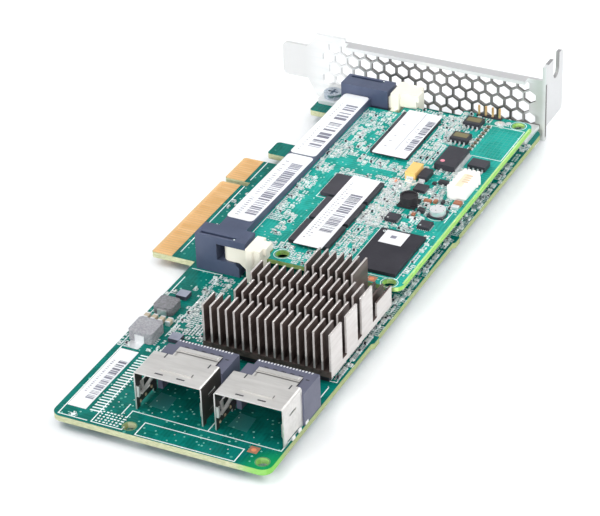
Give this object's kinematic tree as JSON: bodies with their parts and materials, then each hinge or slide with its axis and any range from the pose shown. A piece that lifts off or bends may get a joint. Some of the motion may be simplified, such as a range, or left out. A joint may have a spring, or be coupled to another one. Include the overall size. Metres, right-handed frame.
{
  "type": "raid controller card",
  "caption": "Low-profile server storage card with vented bracket, finned heat sink, cable receptacles and a cache module held in a latched side socket.",
  "frame": {"origin": "centre of the key notch in the finger edge, on the board's component face", "axes": "+X from the finger edge to the card's top edge, +Y towards the bracket, +Z away from the component face"},
  "size_m": [0.0803, 0.1822, 0.0225],
  "materials": {
    "beige_plastic": "satin",
    "black_anodised": "black anodised, bare edges",
    "bright_steel": "bright rolled sheet",
    "cage_steel": "satin plated",
    "can_aluminium": "satin",
    "cap_ceramic": "matt",
    "chip_resin": "matt moulded",
    "coil_dark": "matt pressed powder",
    "coil_grey": "matt pressed powder",
    "dark_plastic": "fine matt",
    "ferrite": "matt",
    "gold_plate": "gold plated",
    "ivory_plastic": "satin",
    "label_paper": "printed label",
    "pad_rubber": "soft matt",
    "slate_plastic": "fine matt",
    "solder_mask": "glossy green lacquer over glass laminate",
    "tinned_metal": "bright tin",
    "white_plastic": "satin",
    "yellow_resin": "satin",
    "zinc_screw": "blue zinc"
  },
  "bodies": {
    "board": {"battery_connector": "white_plastic", "battery_core": "beige_plastic", "board_capacitors": "cap_ceramic", "board_label": "label_paper", "bracket": "bright_steel", "bracket_screws": "zinc_screw", "buffer_chip": "chip_resin", "cable_cage_left": "cage_steel", "cable_cage_right": "cage_steel", "cable_contacts_left": "tinned_metal", "cable_contacts_right": "tinned_metal", "cable_housing_left": "dark_plastic", "cable_housing_right": "dark_plastic", "cache_board": "solder_mask", "capacitor_base": "chip_resin", "capacitor_can": "can_aluminium", "capacitor_ends": "tinned_metal", "chip_label": "label_paper", "coil_terminals": "tinned_metal", "controller_chip": "chip_resin", "driver_chips": "chip_resin", "driver_leads": "tinned_metal", "edge_contacts": "gold_plate", "header_pins": "gold_plate", "header_strip": "chip_resin", "heat_sink": "black_anodised", "link_chip": "chip_resin", "main_board": "solder_mask", "memory_chips": "chip_resin", "memory_labels": "label_paper", "module_terminals": "tinned_metal", "power_chips": "chip_resin", "power_coil": "coil_grey", "power_diode": "chip_resin", "regulator_chips": "chip_resin", "round_choke": "ferrite", "small_coil": "coil_dark", "socket_contacts": "tinned_metal", "socket_housing": "slate_plastic", "socket_labels": "label_paper", "storage_chip": "chip_resin", "tantalum_capacitor": "yellow_resin", "thermal_pad": "pad_rubber"},
    "latch_near": {"latch_near": "ivory_plastic"},
    "latch_far": {"latch_far": "ivory_plastic"}
  },
  "joints": [
    {"name": "latch_near_hinge", "type": "hinge", "parent": "board", "child": "latch_near", "pos_m": [0.0235, -0.0392, 0.0055], "axis": [0, 0, -1], "range_deg": [0, 30]},
    {"name": "latch_far_hinge", "type": "hinge", "parent": "board", "child": "latch_far", "pos_m": [0.0235, 0.0472, 0.0055], "axis": [0, 0, 1], "range_deg": [0, 30]}
  ]
}
